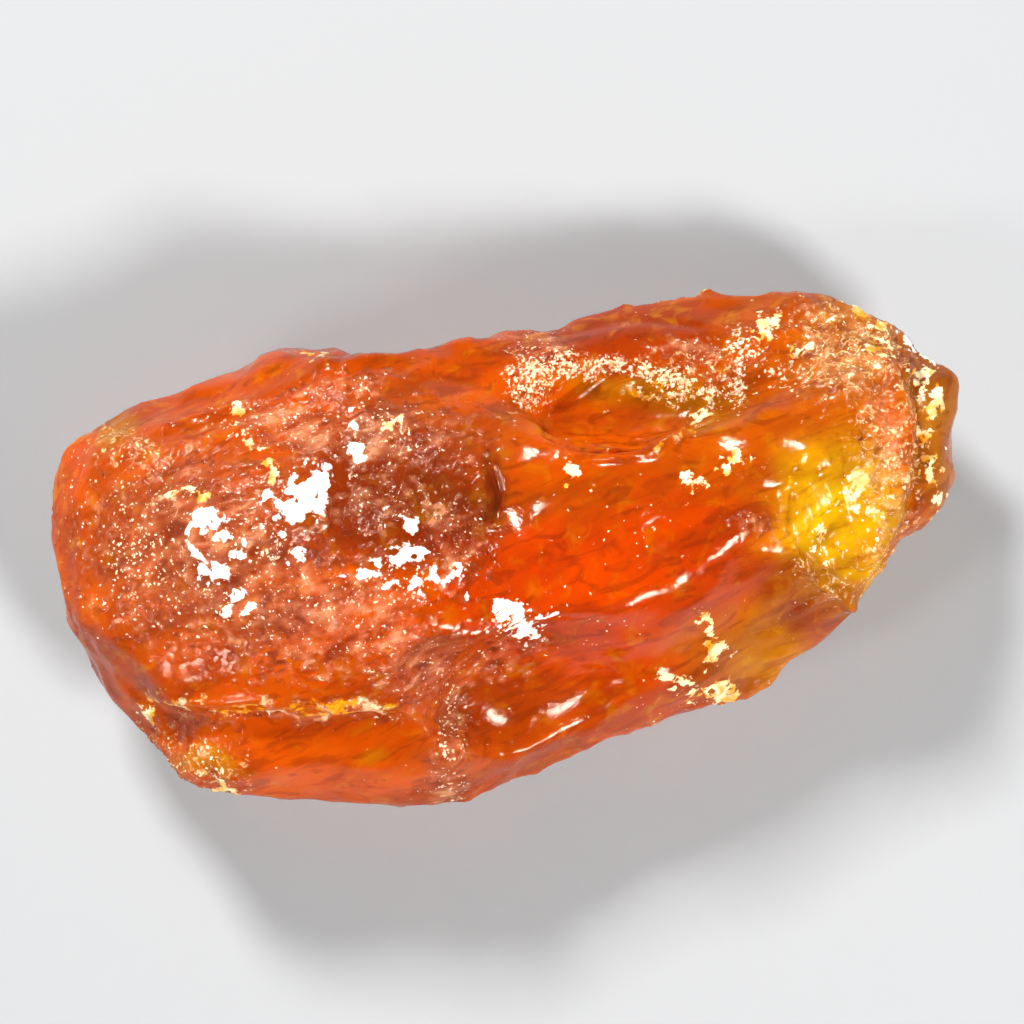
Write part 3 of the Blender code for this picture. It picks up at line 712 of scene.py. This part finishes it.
def amber_material():
    """Clear orange resin with frosted, crusted and chalky skin over it."""
    material = bpy.data.materials.new("amber")
    nodes = Nodes(material)
    wrinkle = nodes.noise(0.55, detail=4.0, distortion=1.2)
    speck = nodes.noise(0.3, detail=2.0)
    mottle = nodes.noise(1.8, detail=3.0, distortion=0.8)

    frost, painted_hollow_shade, painted_glint_specks = frost_sheen_shade_and_glints(nodes, wrinkle, speck, mottle)
    crust = nodes.broken("crust", wrinkle, 4.5, 1.3, most=0.2)
    cream = nodes.broken("cream", speck, 1.8, 0.4)
    chalk = nodes.broken("chalk", speck, 1.1, 0.3)
    band = nodes.broken("band", speck, 4.0, 0.8, most=0.3)
    glint = nodes.broken("glint", speck, 2.0, 1.2)
    # Cover of the dark cracks and of the painted shade along edges
    crack_and_shade = nodes.math("MULTIPLY", nodes.broken("crack_and_shade", wrinkle, 1.2, 1.8), 0.7)

    # Colour and share of clearness lost under each cover, from the lowest to the one on top
    # Painted glints, yellow and pale cream
    glint_colour = nodes.mix(nodes.ramp(mottle, 0.45, 0.62), GLOW, CREAM_YELLOW)
    crust_colour = nodes.mix(nodes.ramp(mottle, 0.5, 0.65), CRUST_PALE, CREAM_YELLOW)
    cream_colour = nodes.mix(nodes.ramp(mottle, 0.35, 0.6), HONEY, CREAM_YELLOW)
    skin = resin_colour(nodes, painted_hollow_shade, crack_and_shade, mottle)
    clear = nodes.attribute("clearness")
    for cover, cover_colour, lost in (
        (glint, glint_colour, 0.5),
        # Painted pink sheen and crease highlights over the frosted skin
        (frost, FROST_AND_SHEEN_PINK, 0.55),
        # Painted glints as pale cream specks on the frost
        (painted_glint_specks, GRAIN_CREAM, 0.8),
        (crust, crust_colour, 0.7),
        (band, GRAIN_CREAM, 0.9),
        (cream, cream_colour, 1.0),
        (chalk, CHALK_WHITE, 1.0),
    ):
        skin = nodes.mix(cover, skin, cover_colour)
        clear = nodes.less(clear, cover, lost)
    nodes.feed("Base Color", skin)
    nodes.feed("Transmission Weight", clear)

    rough = nodes.ramp(frost, 0.0, 1.0, CLEAR_ROUGHNESS, FROST_ROUGHNESS)
    rough = nodes.math("MAXIMUM", rough, nodes.ramp(crust, 0.0, 1.0, 0.0, CRUST_ROUGHNESS))
    rough = nodes.math("MAXIMUM", rough, nodes.ramp(chalk, 0.0, 1.0, 0.0, CHALK_ROUGHNESS))
    nodes.feed("Roughness", rough)
    nodes.feed("IOR", AMBER_IOR)
    nodes.feed("Specular IOR Level", SHEEN_LEVEL)
    nodes.feed("Specular Tint", SHEEN_TINT)
    nodes.feed("Subsurface Weight", GLOW_SHARE)
    nodes.feed("Subsurface Radius", GLOW_REACH)
    nodes.feed("Subsurface Scale", GLOW_DEPTH * MM)

    depth = nodes.ramp(nodes.attribute("frost"), -0.2, 0.3, BUMP_WHERE_CLEAR, 1.0)
    depth = nodes.math("MULTIPLY", depth, wrinkle)
    bump = {"Height": depth, "Strength": BUMP_STRENGTH, "Distance": BUMP_DEPTH * MM}
    nodes.feed("Normal", nodes.add("ShaderNodeBump", bump).outputs[0])

    absorption = {"Color": ABSORPTION_COLOUR, "Density": ABSORPTION_DENSITY}
    absorb = nodes.add("ShaderNodeVolumeAbsorption", absorption)
    nodes.tree.links.new(absorb.outputs[0], nodes.output.inputs["Volume"])
    return material


def grain_material():
    """Dry cream and tan grains."""
    material = bpy.data.materials.new("grains")
    nodes = Nodes(material)
    shade = nodes.ramp(nodes.noise(0.9), 0.35, 0.65)
    nodes.feed("Base Color", nodes.mix(shade, GRAIN_TAN, GRAIN_CREAM))
    nodes.feed("Roughness", GRAIN_ROUGHNESS)
    nodes.feed("IOR", GRAIN_IOR)
    return material


def add_grain(mesh, place, normal, size, chance):
    """One small uneven flake, a little sunk into the skin."""
    turn = Vector([chance.uniform(-1.0, 1.0) for _ in range(3)]).normalized()
    side = normal.cross(turn).normalized()
    along = normal.cross(side)
    length, width, height = size * chance.uniform(0.6, 1.0), size * chance.uniform(0.4, 0.8), size * 0.45
    middle = place - normal * size * GRAIN_SUNK
    corners = []
    for across, forward, up in ((1, 0, 0), (0, 1, 0), (-1, 0, 0), (0, -1, 0), (0, 0, 1), (0, 0, -1)):
        shake = chance.uniform(0.7, 1.3)
        offset = side * across * width + along * forward * length + normal * up * height
        corners.append(mesh.verts.new((middle + offset * shake / 2.0) * MM))
    for a, b in ((0, 1), (1, 2), (2, 3), (3, 0)):
        mesh.faces.new((corners[a], corners[b], corners[4]))
        mesh.faces.new((corners[b], corners[a], corners[5]))


def strewn_grains(lump):
    """Grains in clusters on the broad face, and loose ones on the sides and the back."""
    chance = random.Random(SEED)
    points = places(lump.data)
    skin_tree = BVHTree.FromPolygons(
        [Vector(point) for point in points], [tuple(face.vertices) for face in lump.data.polygons]
    )
    eye = Vector((AIM[0], AIM[1], AIM[2] + CAMERA_DISTANCE))
    spots = []
    for x, y, reach, width, count, largest in GRAINS:
        for _ in range(count):
            aim = Vector((x + chance.gauss(0, reach * 0.5), y + chance.gauss(0, width * 0.5), AIM[2]))
            hit, normal, _, _ = skin_tree.ray_cast(eye, (aim - eye).normalized())
            if hit is not None:
                spots.append((hit, normal, chance.triangular(GRAIN_SIZE, largest)))
    middle = Vector((0.0, 0.0, AIM[2]))
    for _ in range(LOOSE_GRAINS):
        way = Vector([chance.gauss(0.0, 1.0) for _ in range(3)]).normalized()
        hit, normal, _, _ = skin_tree.ray_cast(middle + way * OUTSIDE, -way)
        if hit is not None and FLOOR_GAP < hit.z < FACE_LEVEL:
            spots.append((hit, normal, chance.triangular(GRAIN_SIZE, LARGEST_LOOSE_GRAIN, GRAIN_SIZE)))
    mesh = bmesh.new()
    for hit, normal, size in spots:
        add_grain(mesh, hit, normal, size, chance)
    data = bpy.data.meshes.new("amber_grains")
    mesh.to_mesh(data)
    mesh.free()
    grains = bpy.data.objects.new("amber_grains", data)
    bpy.context.collection.objects.link(grains)
    return grains


def add_floor():
    """Plain pale floor."""
    data = bpy.data.meshes.new("floor")
    data.from_pydata([(-1, -1, 0), (1, -1, 0), (1, 1, 0), (-1, 1, 0)], [], [(0, 1, 2, 3)])
    floor = bpy.data.objects.new("floor", data)
    bpy.context.collection.objects.link(floor)
    material = bpy.data.materials.new("floor")
    nodes = Nodes(material)
    nodes.feed("Base Color", FLOOR_COLOUR)
    nodes.feed("Roughness", FLOOR_ROUGHNESS)
    data.materials.append(material)


def add_camera():
    data = bpy.data.cameras.new("camera")
    data.sensor_width = SENSOR
    data.lens = SENSOR * CAMERA_DISTANCE / VIEW_WIDTH
    data.clip_start = 0.01
    camera = bpy.data.objects.new("camera", data)
    bpy.context.collection.objects.link(camera)
    camera.location = (AIM[0] * MM, AIM[1] * MM, (AIM[2] + CAMERA_DISTANCE) * MM)
    bpy.context.scene.camera = camera


def soft_light(name, place, power, size):
    """Square lamp turned to the lump."""
    data = bpy.data.lights.new(name, "AREA")
    data.energy = power
    data.size = size
    light = bpy.data.objects.new(name, data)
    bpy.context.collection.objects.link(light)
    light.location = place
    light.rotation_mode = "QUATERNION"
    light.rotation_quaternion = (-Vector(place)).to_track_quat("-Z", "Y")


def add_surroundings():
    """Pale horizon under a darker ceiling, so that the top of the lump doesn't mirror a white sky."""
    world = bpy.data.worlds.new("studio")
    bpy.context.scene.world = world
    world.use_nodes = True
    tree = world.node_tree
    background = tree.nodes["Background"]
    place = tree.nodes.new("ShaderNodeTexCoord")
    height = tree.nodes.new("ShaderNodeSeparateXYZ")
    shade = tree.nodes.new("ShaderNodeValToRGB")
    tree.links.new(place.outputs["Generated"], height.inputs[0])
    tree.links.new(height.outputs["Z"], shade.inputs[0])
    tree.links.new(shade.outputs[0], background.inputs["Color"])
    shade.color_ramp.elements[0].position = 0.1
    shade.color_ramp.elements[0].color = HORIZON_COLOUR
    shade.color_ramp.elements[1].position = 0.85
    shade.color_ramp.elements[1].color = CEILING_COLOUR


def set_picture():
    """Colour treatment and light paths of the render."""
    scene = bpy.context.scene
    scene.view_settings.view_transform = "Standard"
    scene.cycles.use_denoising = True
    scene.cycles.use_adaptive_sampling = True
    scene.cycles.adaptive_threshold = 0.15
    scene.cycles.max_bounces = 10
    scene.cycles.diffuse_bounces = 3
    scene.cycles.glossy_bounces = 3
    scene.cycles.transmission_bounces = 8


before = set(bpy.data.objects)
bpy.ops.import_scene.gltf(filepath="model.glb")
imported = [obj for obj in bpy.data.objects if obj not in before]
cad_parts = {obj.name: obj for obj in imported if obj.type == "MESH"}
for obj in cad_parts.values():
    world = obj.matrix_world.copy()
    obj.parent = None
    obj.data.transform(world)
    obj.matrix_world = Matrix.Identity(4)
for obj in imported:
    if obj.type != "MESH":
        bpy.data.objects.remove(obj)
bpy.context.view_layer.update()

lump = fine_copy(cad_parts["amber"])
dress(lump)
lump.data.materials.append(amber_material())
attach(lump, "root")
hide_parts("amber")

grains = strewn_grains(lump)
grains.data.materials.append(grain_material())
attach(grains, "root")

add_floor()
add_camera()
add_surroundings()
for name, place, power, size in LAMPS:
    soft_light(name, place, power, size)
set_picture()
